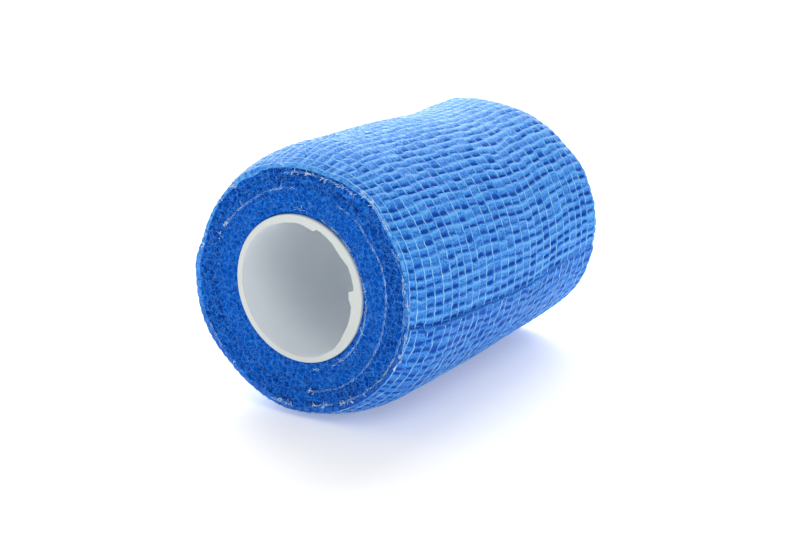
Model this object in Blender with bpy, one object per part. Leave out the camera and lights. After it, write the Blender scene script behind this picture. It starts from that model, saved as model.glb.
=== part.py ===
"""A cohesive bandage wound on a white plastic core, lying on its side with its loose end laid down.

The roll's axis runs along Y, its open end that is seen first faces -Y, and +Z is up.
It is built about its own axis and then stood on the origin. Angles are in degrees, seen from
the -Y end: 0 is +X and 90 is +Z. Lengths are in metres, and the tables are in millimetres.
"""

import bisect
import math

import bmesh
import bpy

MM = 0.001

# The core and the roll
CORE_OUTER_RADIUS = 14.7 * MM
CORE_WALL = 1.4 * MM
CORE_EDGE_ROUND = 0.2 * MM
CORE_SIDES = 64
CORE_PROUD_NEAR = 0.5 * MM  # the core stands out of the wound cloth at both ends
CORE_PROUD_FAR = 0.5 * MM
CLOTH_WIDTH = 75.0 * MM
GAP = 0.3 * MM  # kept between pieces that touch on the real roll

# The cloth
RIBS = 84  # crepe ribs in one turn, each running along the axis
RIB_HEIGHT = 0.34 * MM
TURN_THICKNESS = 0.7 * MM  # how much one turn of the crepe cloth adds to the radius
SHEET_THICKNESS = 1.0 * MM

# The loose end: it lies on the roll from its cut edge, going down and under, to its root
FREE_EDGE_ANGLE = -9.5
LOOSE_RIBS = 14  # ribs of the loose end that lie free of the roll
WALL_ANGLE = 0.5  # the step at each end of the loose end's bed

# The flat spot that the roll rests on lies this much inside its lowest rib
FLAT_DEPTH = 0.7 * MM

LEAN_ANGLE = -60.0  # the side on which the turns lie thickest

# Along the roll, from the open end: distance, mean radius, how much further out the turns lie on
# the leaning side, and how far the cut edge and the ribs wander round, in degrees
SECTIONS = (
    # distance, radius, lean, drift
    (0.5, 27.0, 0.20, 0.6),
    (2.0, 27.0, 0.20, -0.2),
    (5.0, 27.0, 0.25, -0.8),
    (9.0, 27.0, 0.30, -1.1),
    (14.0, 27.0, 0.30, -1.4),
    (22.0, 26.9, 0.45, -2.4),
    (30.0, 26.9, 0.45, -3.1),
    (38.0, 26.8, 0.55, -3.9),
    (45.0, 26.5, 0.65, -4.7),
    (51.0, 26.2, 0.70, -4.1),
    (57.0, 26.1, 0.70, -2.8),
    (62.5, 26.1, 0.60, -2.2),
    (68.0, 26.1, 0.45, -2.0),
    (72.0, 26.1, 0.35, -1.9),
    (74.5, 26.0, 0.30, -1.9),
)

# The outline of the open end, and of the far one: angle and radius
NEAR_RIM = (
    (0, 24.9), (23, 25.5), (37, 25.2), (50, 25.9), (61, 25.4), (78, 24.4), (100, 24.3), (120, 24.6),
    (140, 24.3), (162, 24.5), (180, 25.9), (205, 26.4), (230, 25.6), (255, 25.6), (285, 24.8), (305, 24.3),
    (330, 24.3), (345, 24.6),
)
FAR_RIM = (
    (0, 26.6), (25, 26.0), (45, 24.8), (65, 24.4), (85, 23.8), (100, 24.9), (115, 26.3), (135, 26.1),
    (160, 25.8), (200, 25.6), (250, 25.7), (300, 26.1), (330, 26.5),
)
NEAR_SHOULDER = 12.0 * MM  # how far each rounded shoulder reaches along the roll
FAR_SHOULDER = 8.0 * MM

# A hump where the outer turns bulge on top, near the far end
HUMP_HEIGHT = 0.4 * MM
HUMP_ANGLE = 118.0
HUMP_SPREAD_ANGLE = 24.0
HUMP_PLACE = 66.0 * MM
HUMP_SPREAD = 6.0 * MM

# The wound end faces, from the bore out: share of the way to the rim, and how deep the turns lie
END_FACE = (
    # share, depth
    (0.0, 0.10),
    (0.35, 0.0),
    (0.66, 0.25),
    (0.95, 0.05),
)

BLUE_CLOTH = (0.045, 0.215, 0.68, 1.0)
WHITE_PLASTIC = (0.71, 0.73, 0.70, 1.0)

HALF_STEP = 180.0 / RIBS  # from the top of a rib to the bottom of the fold beside it
LOOSE_ANGLE = LOOSE_RIBS * 2 * HALF_STEP
BORE_RADIUS = CORE_OUTER_RADIUS + GAP
GAP_ANGLE = math.degrees(GAP / (SECTIONS[0][1] * MM))


def clear_scene():
    for item in list(bpy.data.objects):
        bpy.data.objects.remove(item, do_unlink=True)


def material(name, colour, roughness):
    made = bpy.data.materials.new(name)
    made.use_nodes = True
    shader = made.node_tree.nodes["Principled BSDF"]
    shader.inputs["Base Color"].default_value = colour
    shader.inputs["Roughness"].default_value = roughness
    shader.inputs["Metallic"].default_value = 0.0
    return made


def eased(share):
    """A share from 0 to 1, with a soft start and a soft stop."""
    return share * share * (3 - 2 * share)


def along(table, column, distance):
    """The value of one column of a table at a distance that lies within it."""
    places = [row[0] * MM for row in table]
    above = min(max(bisect.bisect_right(places, distance), 1), len(table) - 1)
    low, high = table[above - 1], table[above]
    share = (distance / MM - low[0]) / (high[0] - low[0])
    return low[column] + (high[column] - low[column]) * share


def rim_radius(rim, angle):
    """The radius of a rim's outline at any angle, eased from each point of its table to the next."""
    angle = angle % 360
    angles = [row[0] for row in rim]
    before = bisect.bisect_right(angles, angle) - 1
    low, high = rim[before], rim[(before + 1) % len(rim)]
    span = (high[0] - low[0]) % 360
    share = eased((angle - low[0]) / span)
    return (low[1] + (high[1] - low[1]) * share) * MM


def shoulder(distance, reach):
    """How much of a rim's outline shows at a distance from its end face: 1 at the rim, 0 past its shoulder."""
    past_rim = distance - SECTIONS[0][0] * MM
    return max(0.0, 1 - past_rim / reach) ** 2


def outer_radius(angle, distance):
    """The roll's outline at an angle, at a distance from its open end, with no ribs."""
    lean = along(SECTIONS, 2, distance) * math.cos(math.radians(angle - LEAN_ANGLE))
    radius = (along(SECTIONS, 1, distance) + lean) * MM
    far = CLOTH_WIDTH - distance
    turned = (angle - HUMP_ANGLE + 180) % 360 - 180
    fall = (turned / HUMP_SPREAD_ANGLE) ** 2 + ((distance - HUMP_PLACE) / HUMP_SPREAD) ** 2
    radius += HUMP_HEIGHT * math.exp(-fall)
    radius += (rim_radius(NEAR_RIM, angle) - radius) * shoulder(distance, NEAR_SHOULDER)
    radius += (rim_radius(FAR_RIM, angle) - radius) * shoulder(far, FAR_SHOULDER)
    return radius


def station_angle(wound, distance):
    """The angle of a station that lies so many degrees past the cut edge, going down and under."""
    return FREE_EDGE_ANGLE + along(SECTIONS, 3, distance) - wound


def turn_radius(wound, distance):
    """The radius of the outermost turn, which loses one thickness on its way round."""
    radius = outer_radius(station_angle(wound, distance), distance)
    return radius + TURN_THICKNESS * (0.5 - wound / 360)


def polar(angle, radius, distance):
    turned = math.radians(angle)
    return (radius * math.cos(turned), distance - CLOTH_WIDTH / 2, radius * math.sin(turned))


def floor_height():
    """The height of the flat spot, from the axis: just inside the lowest rib."""
    lowest = max(outer_radius(-90, row[0] * MM) for row in SECTIONS)
    return FLAT_DEPTH - lowest - RIB_HEIGHT / 2 - TURN_THICKNESS * (0.5 - (90 + FREE_EDGE_ANGLE) / 360)


def rib(index):
    """Half the height of a rib: out at even stations, in at odd ones."""
    return RIB_HEIGHT / 2 if index % 2 == 0 else -RIB_HEIGHT / 2


def roll_stations():
    """Round the roll from the cut edge: degrees past it, the rib there, and how deep the bed lies."""
    bed = SHEET_THICKNESS + GAP
    stations = [(360.0, rib(0), 0.0), (WALL_ANGLE, rib(0), bed)]
    for index in range(1, 2 * RIBS):
        wound = index * HALF_STEP
        stations.append((wound, rib(index), bed if wound <= LOOSE_ANGLE else 0.0))
        if index == 2 * LOOSE_RIBS:
            stations.append((wound + WALL_ANGLE, rib(index), 0.0))
    return stations


def roll_ring(distance, floor):
    """One ring of points on the roll's outer surface."""
    ring = []
    for wound, raised, bed in roll_stations():
        radius = turn_radius(wound, distance) + raised - bed
        x, y, z = polar(station_angle(wound, distance), radius, distance)
        ring.append((x, y, max(z, floor)))
    return ring


def face_ring(rim, share, distance):
    """One ring of points on an end face, part of the way from the bore to the rim."""
    ring = []
    for x, _, z in rim:
        radius = math.hypot(x, z)
        scale = (BORE_RADIUS + (radius - BORE_RADIUS) * share) / radius
        ring.append((x * scale, distance - CLOTH_WIDTH / 2, z * scale))
    return ring


def skin(rings, closed):
    """A mesh with a face between each two neighbouring points of each two neighbouring rings."""
    bm = bmesh.new()
    rows = [[bm.verts.new(point) for point in ring] for ring in rings]
    pairs = list(zip(rows, rows[1:]))
    if closed:
        pairs.append((rows[-1], rows[0]))
    for low, high in pairs:
        for index, corner in enumerate(low):
            after = (index + 1) % len(low)
            bm.faces.new((corner, low[after], high[after], high[index]))
    return bm


def finish(bm, name, surface, axis):
    """The mesh as an object on the roll's axis, with its faces pointing out."""
    bmesh.ops.recalc_face_normals(bm, faces=bm.faces)
    mesh = bpy.data.meshes.new(name)
    bm.to_mesh(mesh)
    bm.free()
    mesh.shade_smooth()
    mesh.set_sharp_from_angle(angle=math.radians(40))
    made = bpy.data.objects.new(name, mesh)
    made.data.materials.append(surface)
    made.parent = axis
    bpy.context.scene.collection.objects.link(made)
    return made


def build_roll(cloth, axis):
    """The wound cloth: one solid, open along its bore, with a bed for its loose end."""
    floor = floor_height()
    outer = [roll_ring(row[0] * MM, floor) for row in SECTIONS]
    near = [face_ring(outer[0], share, depth * MM) for share, depth in END_FACE]
    far = [face_ring(outer[-1], share, CLOTH_WIDTH - depth * MM) for share, depth in END_FACE]
    return finish(skin(near + outer + far[::-1], closed=True), "bandage_roll", cloth, axis)


def build_loose_end(cloth, axis):
    """The last stretch of the cloth, lying on the roll in its bed."""
    stations = [(WALL_ANGLE + GAP_ANGLE, 0.0)]
    stations += [(index * HALF_STEP, rib(index)) for index in range(1, 2 * LOOSE_RIBS)]
    stations.append((LOOSE_ANGLE - GAP_ANGLE, 0.0))
    rings = []
    for row in SECTIONS:
        distance = row[0] * MM
        top, under = [], []
        for wound, raised in stations:
            angle = station_angle(wound, distance)
            radius = turn_radius(wound, distance) + raised
            top.append(polar(angle, radius, distance))
            under.append(polar(angle, radius - SHEET_THICKNESS, distance))
        rings.append(top + under[::-1])
    bm = skin(rings, closed=False)
    last = len(stations) - 1
    bm.verts.ensure_lookup_table()
    for start in (0, (len(rings) - 1) * 2 * len(stations)):
        ring = bm.verts[start : start + 2 * len(stations)]
        for index in range(last):
            across = 2 * last + 1 - index
            bm.faces.new((ring[index], ring[index + 1], ring[across - 1], ring[across]))
    return finish(bm, "loose_end", cloth, axis)


def build_core(plastic, axis):
    """The core: a plain tube, its wall spun round the roll's axis, its ends slightly rounded."""
    near = -CLOTH_WIDTH / 2 - CORE_PROUD_NEAR
    far = CLOTH_WIDTH / 2 + CORE_PROUD_FAR
    inner = CORE_OUTER_RADIUS - CORE_WALL
    bm = bmesh.new()
    wall = [bm.verts.new((x, y, 0)) for x, y in (
        (inner, near), (CORE_OUTER_RADIUS, near), (CORE_OUTER_RADIUS, far), (inner, far),
    )]
    edges = [bm.edges.new((wall[i], wall[(i + 1) % 4])) for i in range(4)]
    bmesh.ops.bevel(bm, geom=wall, offset=CORE_EDGE_ROUND, segments=1, affect="VERTICES")
    edges = list(bm.edges)
    bmesh.ops.spin(
        bm, geom=list(bm.verts) + edges, axis=(0, 1, 0), cent=(0, 0, 0),
        steps=CORE_SIDES, angle=math.tau, use_merge=True,
    )
    return finish(bm, "core_tube", plastic, axis)


def stand_on_origin(axis, pieces):
    """Move the roll's axis so that the middle of the roll's base lies on the origin."""
    points = [vertex.co for piece in pieces for vertex in piece.data.vertices]
    low = [min(point[i] for point in points) for i in range(3)]
    high = [max(point[i] for point in points) for i in range(3)]
    axis.location = (-(low[0] + high[0]) / 2, -(low[1] + high[1]) / 2, -low[2])


def main():
    clear_scene()
    cloth = material("blue_crepe_cloth", BLUE_CLOTH, 0.85)
    plastic = material("white_plastic", WHITE_PLASTIC, 0.45)
    axis = bpy.data.objects.new("roll_axis", None)
    bpy.context.scene.collection.objects.link(axis)
    pieces = [build_roll(cloth, axis), build_loose_end(cloth, axis), build_core(plastic, axis)]
    stand_on_origin(axis, pieces)


main()
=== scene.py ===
# %% [markdown]
# # A cohesive bandage on its plastic core
# A cohesive bandage is a ribbon of thin non-woven cloth with stretched elastic threads laminated
# into it. When the stretch is let go, the threads pull the cloth into small crosswise ribs, which
# is called crepe. The ribbon is wound on a short piece of white plastic tube and sticks to itself.
# The CAD model gives the roll, its loose end and the core at their real sizes. This script loads
# them as a frame and gives each one the surface that shows: ribs, threads, cut edges and plastic.

import math

import bpy
import numpy as np
from mathutils import Euler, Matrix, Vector


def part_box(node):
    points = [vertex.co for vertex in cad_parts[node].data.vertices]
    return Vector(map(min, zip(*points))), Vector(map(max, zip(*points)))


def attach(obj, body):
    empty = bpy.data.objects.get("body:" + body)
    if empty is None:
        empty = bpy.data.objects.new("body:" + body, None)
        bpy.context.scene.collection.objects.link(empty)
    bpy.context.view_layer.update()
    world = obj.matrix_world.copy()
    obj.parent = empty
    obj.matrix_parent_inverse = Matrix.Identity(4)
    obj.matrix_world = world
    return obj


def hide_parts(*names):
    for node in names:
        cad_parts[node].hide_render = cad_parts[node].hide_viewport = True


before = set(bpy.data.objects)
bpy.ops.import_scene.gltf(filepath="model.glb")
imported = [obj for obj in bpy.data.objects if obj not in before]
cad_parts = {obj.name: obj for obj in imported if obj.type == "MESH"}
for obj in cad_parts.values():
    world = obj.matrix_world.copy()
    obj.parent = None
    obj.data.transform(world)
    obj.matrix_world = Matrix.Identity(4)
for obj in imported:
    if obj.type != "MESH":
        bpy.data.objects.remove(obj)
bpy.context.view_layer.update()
MM = 0.001
core_low, core_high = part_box("core_tube")
AXIS = (core_low + core_high) / 2
print("Pieces in the frame:", sorted(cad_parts))
print("The roll's axis runs through", [round(value / MM, 2) for value in AXIS])

# %% [markdown]
# ## The camera
# The photograph looks down a little on the roll's open end, from its right. The aim is the middle
# of the core's near end, which is easy to find in the picture, and the camera stands back from it,
# then moves right and up without turning, so that the roll lies where the picture has it.

# %% The camera
AZIMUTH = 32.70
ELEVATION = 16.58
LENS = 74.25
STAND_BACK = 316.07 * MM
MOVE_RIGHT = 19.61 * MM
MOVE_UP = 4.37 * MM

aim = Vector((AXIS.x, core_low.y, AXIS.z))
turn = Euler((math.radians(90 - ELEVATION), 0, math.radians(AZIMUTH)))
bpy.ops.object.camera_add(rotation=turn)
camera = bpy.context.object
camera.name = "camera"
camera.location = aim + turn.to_matrix() @ Vector((MOVE_RIGHT, MOVE_UP, STAND_BACK))
camera.data.lens = LENS
camera.data.sensor_width = 36.0
camera.data.clip_start = 0.01
bpy.context.scene.camera = camera
print("The camera stands", round((camera.location - aim).length / MM), "mm from the core's near end")

# %% [markdown]
# ## The roll's own coordinates
# Everything on the roll is placed by three numbers, as a winder would do it: how many degrees the
# cloth has been wound past its cut edge, how far along the roll the point lies, and how far from the
# axis. The outline repeats the sizes of the CAD source, because the pieces must lie on its solids.
# Angles are in degrees seen from the open end, with 0 to the right and 90 up.

# %% The roll's outline
CORE_RADIUS = 14.7 * MM
CLOTH_WIDTH = 75.0 * MM
TURN_THICKNESS = 0.7 * MM
RIBS = 84
RIB_PITCH = 360 / RIBS
FREE_EDGE_ANGLE = -9.5
LOOSE_ANGLE = 60.0
LEAN_ANGLE = -60.0
SECTIONS = np.array((
    # distance, radius and lean in mm, drift in degrees
    (0.5, 27.0, 0.20, 0.6),
    (2.0, 27.0, 0.20, -0.2),
    (5.0, 27.0, 0.25, -0.8),
    (9.0, 27.0, 0.30, -1.1),
    (14.0, 27.0, 0.30, -1.4),
    (22.0, 26.9, 0.45, -2.4),
    (30.0, 26.9, 0.45, -3.1),
    (38.0, 26.8, 0.55, -3.9),
    (45.0, 26.5, 0.65, -4.7),
    (51.0, 26.2, 0.70, -4.1),
    (57.0, 26.1, 0.70, -2.8),
    (62.5, 26.1, 0.60, -2.2),
    (68.0, 26.1, 0.45, -2.0),
    (72.0, 26.1, 0.35, -1.9),
    (74.5, 26.0, 0.30, -1.9),
))
NEAR_RIM = (
    # angle in degrees, radius in mm
    (0, 24.9), (23, 25.5), (37, 25.2), (50, 25.9), (61, 25.4), (78, 24.4), (100, 24.3), (120, 24.6),
    (140, 24.3), (162, 24.5), (180, 25.9), (205, 26.4), (230, 25.6), (255, 25.6), (285, 24.8),
    (305, 24.3), (330, 24.3), (345, 24.6),
)
FAR_RIM = (
    (0, 26.6), (25, 26.0), (45, 24.8), (65, 24.4), (85, 23.8), (100, 24.9), (115, 26.3), (135, 26.1),
    (160, 25.8), (200, 25.6), (250, 25.7), (300, 26.1), (330, 26.5),
)
NEAR_SHOULDER = 12.0 * MM
FAR_SHOULDER = 8.0 * MM
HUMP_HEIGHT = 0.4 * MM
HUMP_ANGLE = 118.0
HUMP_SPREAD_ANGLE = 24.0
HUMP_PLACE = 66.0 * MM
HUMP_SPREAD = 6.0 * MM
FIRST_RING = 0.5 * MM


def eased(share):
    """A share from 0 to 1, with a soft start and a soft stop."""
    return share * share * (3 - 2 * share)


def along(column, distance):
    """One column of the sections' table at any distance from the open end."""
    return np.interp(distance / MM, SECTIONS[:, 0], SECTIONS[:, column])


def rim_radius(rim, angle):
    """The radius of a rim's outline at any angle, eased from each point of its table to the next."""
    angles, radii = np.array(rim + ((rim[0][0] + 360, rim[0][1]),)).T
    before = np.searchsorted(angles, angle % 360, side="right") - 1
    share = eased((angle % 360 - angles[before]) / (angles[before + 1] - angles[before]))
    return (radii[before] + (radii[before + 1] - radii[before]) * share) * MM


def shoulder(distance, reach):
    """How much of a rim's outline shows: 1 at the rim, 0 past the shoulder."""
    return np.maximum(0, 1 - (distance - FIRST_RING) / reach) ** 2


def outer_radius(angle, distance):
    """The roll's outline at an angle and a distance from its open end, with no ribs."""
    lean = along(2, distance) * np.cos(np.radians(angle - LEAN_ANGLE))
    radius = (along(1, distance) + lean) * MM
    turned = (angle - HUMP_ANGLE + 180) % 360 - 180
    fall = (turned / HUMP_SPREAD_ANGLE) ** 2 + ((distance - HUMP_PLACE) / HUMP_SPREAD) ** 2
    radius = radius + HUMP_HEIGHT * np.exp(-fall)
    radius = radius + (rim_radius(NEAR_RIM, angle) - radius) * shoulder(distance, NEAR_SHOULDER)
    far = CLOTH_WIDTH - distance
    return radius + (rim_radius(FAR_RIM, angle) - radius) * shoulder(far, FAR_SHOULDER)


print("Radius at the open end's top:", round(float(outer_radius(90, FIRST_RING)) / MM, 2), "mm")

# %% [markdown]
# ## Places on the roll
# The cloth is wound down and under from its cut edge, so a point's angle falls as the winding goes
# on. At the cut edge the outermost turn lies half a thickness outside the outline, and one turn
# later half a thickness inside it. That is how a wound ribbon passes under its own end.

# %% Places on the roll


def angle_of(wound, distance):
    """The angle of a point so many degrees past the cut edge, going down and under."""
    return FREE_EDGE_ANGLE + along(3, distance) - wound


def turn_radius(wound, distance):
    """The radius of the outermost turn, which loses one thickness on its way round."""
    radius = outer_radius(angle_of(wound, distance), distance)
    return radius + TURN_THICKNESS * (0.5 - wound / 360)


def place(angle, radius, distance):
    """Points in the scene, from angles round the axis, radii and distances from the open end."""
    turned = np.radians(angle)
    x = AXIS.x + radius * np.cos(turned)
    z = AXIS.z + radius * np.sin(turned)
    y = distance - CLOTH_WIDTH / 2 + np.zeros_like(x)
    return np.stack([x, y, np.maximum(z, 0)], axis=-1)


print("The cut edge meets the open end at", round(float(angle_of(0, FIRST_RING)), 1), "degrees")

# %% [markdown]
# ## Seeded unevenness
# No two cells of a crepe are alike, so much of the shape is worked out from smooth noise. The noise
# comes from a fixed table of random numbers, so every run of the script gives the same roll.

# %% Smooth noise
NOISE_SIDE = 128


def wander(seed, across, beside):
    """Smooth noise from -1 to 1 whose waves are about one unit long in both directions."""
    table = np.random.default_rng(seed).uniform(-1, 1, (NOISE_SIDE, NOISE_SIDE))
    row = np.floor(across).astype(int)
    column = np.floor(beside).astype(int)
    down = eased(across - row)
    over = eased(beside - column)

    def corner(rows, columns):
        return table[rows % NOISE_SIDE, columns % NOISE_SIDE]

    near = corner(row, column) * (1 - over) + corner(row, column + 1) * over
    far = corner(row + 1, column) * (1 - over) + corner(row + 1, column + 1) * over
    return near * (1 - down) + far * down


sample = wander(1, np.linspace(0, 90, 999), np.zeros(999))
print("Noise runs between", round(float(sample.min()), 2), "and", round(float(sample.max()), 2))

# %% [markdown]
# ## The crepe
# The threads run round the roll 1.7 to 3.4 mm apart, closest at the open end, and the ribs run along
# it about 2 mm apart. Between two threads each rib is a small soft pleat: under its crest it bulges,
# then turns in to a recess below, and the next crest stands straight out of that recess. The threads
# hold the cloth level, so the recesses are deep between them and shallow where they cross.
# One function gives that relief, and each piece of cloth calls it with its own seed and depth.

# %% The relief of the crepe
THREAD_PLACES = np.array((
    0.7, 2.4, 4.6, 6.9, 9.4, 12.3, 14.9, 17.5, 20.1, 22.6, 25.4, 28.4, 31.3, 34.2, 37.2, 40.6, 43.8, 46.8,
    50.1, 53.2, 56.3, 59.6, 62.4, 65.4, 68.1, 70.9, 74.0,
)) * MM
THREADS = len(THREAD_PLACES)
TABLE_RIBS = 4 * RIBS
CREST = 0.17 * MM
CREST_AT_THREAD = 0.55
OWN_DEPTHS = (0.3, 1.25)
DEPTH_AT_THREAD = 0.34
FALL_SHARE = 0.80
FALL_SOFTNESS = (1.3, 3.4)
PUFF_SOFTNESS = 0.6
ARCH = 0.13
ARCH_STRIDE = 5.5
SLOW_SLIP = 0.5
SLOW_WAVE = 6


def crepe(wound, distance, seed, depth, slip):
    """The height of the crepe at each point, and its painted shade from 0 to 1: how deep in the recess it
    lies.
    """
    cell = np.interp(distance, THREAD_PLACES, np.arange(THREADS))
    rib = wound / RIB_PITCH
    slow = SLOW_SLIP * slip * wander(seed + 1, rib / SLOW_WAVE, cell / SLOW_WAVE)
    rib = rib + slip * wander(seed, rib, cell + 0.5) + slow
    rng = np.random.default_rng(seed + 2)
    own_depth = rng.uniform(*OWN_DEPTHS, (TABLE_RIBS, THREADS + 1))
    own_softness = rng.uniform(*FALL_SOFTNESS, (TABLE_RIBS, THREADS + 1))
    puff = np.abs(np.sin(math.pi * (cell - np.floor(cell)))) ** PUFF_SOFTNESS
    rib = rib + ARCH * puff * wander(seed + 3, rib, np.floor(cell) * ARCH_STRIDE)
    across = rib - np.floor(rib)
    here = (np.floor(rib).astype(int) % TABLE_RIBS, np.floor(cell).astype(int))
    down = np.sin(math.pi / 2 * np.minimum(across / FALL_SHARE, 1) ** own_softness[here]) ** 2
    up = np.cos(math.pi / 2 * np.maximum(across - FALL_SHARE, 0) / (1 - FALL_SHARE)) ** 2
    fall = np.where(across < FALL_SHARE, down, up)
    share = DEPTH_AT_THREAD * (1 - puff) + own_depth[here] * puff
    crest = CREST * (CREST_AT_THREAD + (1 - CREST_AT_THREAD) * puff)
    height = crest - depth * share * fall
    # The second value is painted shade in the recesses; where it is near zero the crests get a painted
    # highlight.
    return height, np.clip(share * fall, 0, 1)


spaces = np.diff(THREAD_PLACES) / MM
print("Threads lie", round(float(spaces.min()), 1), "to", round(float(spaces.max()), 1), "mm apart")

# %% [markdown]
# ## Helpers for building
# A cloth is a flat grid that is then bent into place, the way a ribbon is: its columns go round the
# roll and its rows go along it. An operator acts on all that is selected, so everything is let go
# first. The grid's own coordinates say which row and column each of its points belongs to.

# %% Helpers for building


def let_go():
    """Select nothing, with no edit mode left open."""
    if bpy.context.mode != "OBJECT":
        bpy.ops.object.mode_set(mode="OBJECT")
    bpy.ops.object.select_all(action="DESELECT")


def flat_grid(name, columns, rows):
    """A new grid of so many faces each way, and the column and row of each of its points."""
    let_go()
    bpy.ops.mesh.primitive_grid_add(x_subdivisions=columns, y_subdivisions=rows, size=1)
    made = bpy.context.object
    made.name = made.data.name = name
    points = np.empty(len(made.data.vertices) * 3)
    made.data.vertices.foreach_get("co", points)
    points = points.reshape(-1, 3) + 0.5
    return made, np.rint(points[:, 0] * columns).astype(int), np.rint(points[:, 1] * rows).astype(int)


def put(made, points):
    """Move every point of a mesh to its new place."""
    made.data.vertices.foreach_set("co", np.asarray(points, dtype=np.float32).ravel())
    made.data.update()


def add_fold_shade(made, folds):
    """Keep how deep in a recess each point lies, as the painted shade and painted crest highlight of the
    cloth's colour.
    """
    layer = made.data.attributes.new("fold_shade", "FLOAT", "POINT")
    layer.data.foreach_set("value", np.asarray(folds, dtype=np.float32))


def hand_over(made, slot, *nodes):
    """Fasten a finished piece to the frame, in place of the CAD nodes that it stands for."""
    made.data.shade_smooth()
    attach(made, "root")
    if nodes:
        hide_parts(*nodes)
    print(made.name, "has", sum(len(face.vertices) - 2 for face in made.data.polygons), "triangles")
    return made


STEPS_PER_RIB = 10
STEPS_PER_CELL = 5
cell_steps = np.arange((THREADS - 1) * STEPS_PER_CELL + 1) / STEPS_PER_CELL
cell_rows = np.interp(cell_steps, np.arange(THREADS), THREAD_PLACES)
DISTANCES = np.concatenate([[FIRST_RING], cell_rows, [CLOTH_WIDTH - FIRST_RING]])
print("Each cloth has", len(DISTANCES), "rows of points along the roll")

# %% [markdown]
# ## The outermost turn
# This is the cloth that shows nearly all round the roll. It starts at the root of the loose end, goes
# round, and ends a little way under the loose end's cut edge, one thickness of cloth further in, as a
# wound ribbon does. Along the top its ribs are flatter and their painted shade is weaker, as painted
# light, and just above the cut edge it dips into a crease that is painted darker, as painted shade.

# %% The outermost turn
TURN_SEED = 11
TURN_RIBS = 73
TURN_START = LOOSE_ANGLE
CREPE_DEPTH = 0.55 * MM
CREPE_SLIP = 0.17
FLAT_TOP_ANGLE = 95.0
FLAT_TOP_SPREAD = 36.0
FLAT_TOP = 0.7
LEAST_RELIEF = 0.25
CREASE_AT = 359.7
CREASE_WIDTH = 0.55
CREASE_RAGGED = 0.6
CREASE_WAVE = 1.6 * MM
CREASE_DEPTH = 0.18 * MM
# How dark the crease is painted: painted shade
CREASE_SHADE = 0.6
CREASE_FADE = 45 * MM
CREASE_FADES_BY = 0.4
COVERED_FROM = 361.5
COVERED_REACH = 2
COVERED_DROP = 0.10 * MM


def turn_surface(wound, distance):
    """The outermost turn's radius at each point, and its painted shade: from the recesses, weaker on top,
    and in the crease.
    """
    height, fold_shade = crepe(wound, distance, TURN_SEED, CREPE_DEPTH, CREPE_SLIP)
    beside_top = (angle_of(wound, distance) - FLAT_TOP_ANGLE + 180) % 360 - 180
    relief_and_shade_kept = 1 - FLAT_TOP * np.exp(-((beside_top / FLAT_TOP_SPREAD) ** 2))
    height = CREST + (height - CREST) * (LEAST_RELIEF + (1 - LEAST_RELIEF) * relief_and_shade_kept)
    # Painted light: along the top the painted recess shade is weakened as well.
    fold_shade = fold_shade * relief_and_shade_kept
    covered = eased(np.clip((wound - COVERED_FROM) / COVERED_REACH, 0, 1))
    height = height * (1 - covered) - COVERED_DROP * covered
    ragged = CREASE_RAGGED * wander(TURN_SEED + 1, distance / CREASE_WAVE, wound * 0)
    crease = np.exp(-(((wound - CREASE_AT - ragged) / CREASE_WIDTH) ** 2))
    crease = crease * (1 - CREASE_FADES_BY * np.clip(distance / CREASE_FADE, 0, 1))
    radius = turn_radius(wound, distance) + height - CREASE_DEPTH * crease
    # Painted shade in the crease above the loose end's cut edge.
    return radius, np.maximum(fold_shade, CREASE_SHADE * crease)


outer_turn, column, row = flat_grid("outer_turn", TURN_RIBS * STEPS_PER_RIB, len(DISTANCES) - 1)
wound = TURN_START + column * RIB_PITCH / STEPS_PER_RIB
distance = DISTANCES[row]
radius, fold_shade = turn_surface(wound, distance)
put(outer_turn, place(angle_of(wound, distance), radius, distance))
add_fold_shade(outer_turn, fold_shade)
hand_over(outer_turn, "crepe_cloth", "bandage_roll")

# %% [markdown]
# ## The loose end
# The last stretch of cloth is smoothed down over the roll from its cut edge. It isn't pulled tight,
# so its ribs are softer and don't line up with the turn above. A fixed share of painted shade lies
# over all of it, so it is painted darker and its crests get no painted highlight. Toward the far end
# it is pressed flat, as the photograph shows. It is a sheet of its own: the same kind of grid, given
# its thickness by a Solidify modifier, with the top where the CAD has it.

# %% The loose end
LOOSE_SEED = 31
LOOSE_THICKNESS = 0.75 * MM
LOOSE_RIBS = 14
LOOSE_CREPE_DEPTH = 0.34 * MM
LOOSE_SLIP = 0.36
LOOSE_SHIFT = 1.3
EDGE_ROUND = 0.9
EDGE_DROP = 0.12 * MM
FRAY_ANGLE = 0.45
FRAY_WAVE = 2.2 * MM
FRAY_REACH = 8
# Painted shade laid over all of the loose end
LOOSE_SHADE = 0.20
PRESSED_FROM = 20 * MM
PRESSED_DEPTH = 0.5 * MM
PRESSED_REACH = 25


def loose_surface(wound, distance):
    """The loose end's radius at each point, and its painted shade: a fixed share over all of it, plus how
    deep in a recess it lies.
    """
    height, fold_shade = crepe(wound + LOOSE_SHIFT, distance, LOOSE_SEED, LOOSE_CREPE_DEPTH, LOOSE_SLIP)
    taut_height, taut_fold_shade = crepe(wound, distance, TURN_SEED, CREPE_DEPTH, CREPE_SLIP)
    to_root = eased(np.clip((wound - LOOSE_ANGLE) / (2 * RIB_PITCH) + 1, 0, 1))
    height = height + (taut_height - height) * to_root
    fold_shade = fold_shade + (taut_fold_shade - fold_shade) * to_root
    at_edge = np.clip(1 - wound / EDGE_ROUND, 0, 1)
    height = height * (1 - at_edge) - EDGE_DROP * at_edge
    pressed = eased(np.clip((distance - PRESSED_FROM) / (CLOTH_WIDTH - PRESSED_FROM), 0, 1))
    height = height - PRESSED_DEPTH * pressed * (1 - eased(np.clip(wound / PRESSED_REACH, 0, 1)))
    # Painted shade: a fixed share over the whole loose end; at its cut edge only that share is left.
    return turn_radius(wound, distance) + height, LOOSE_SHADE + fold_shade * (1 - at_edge)


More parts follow.
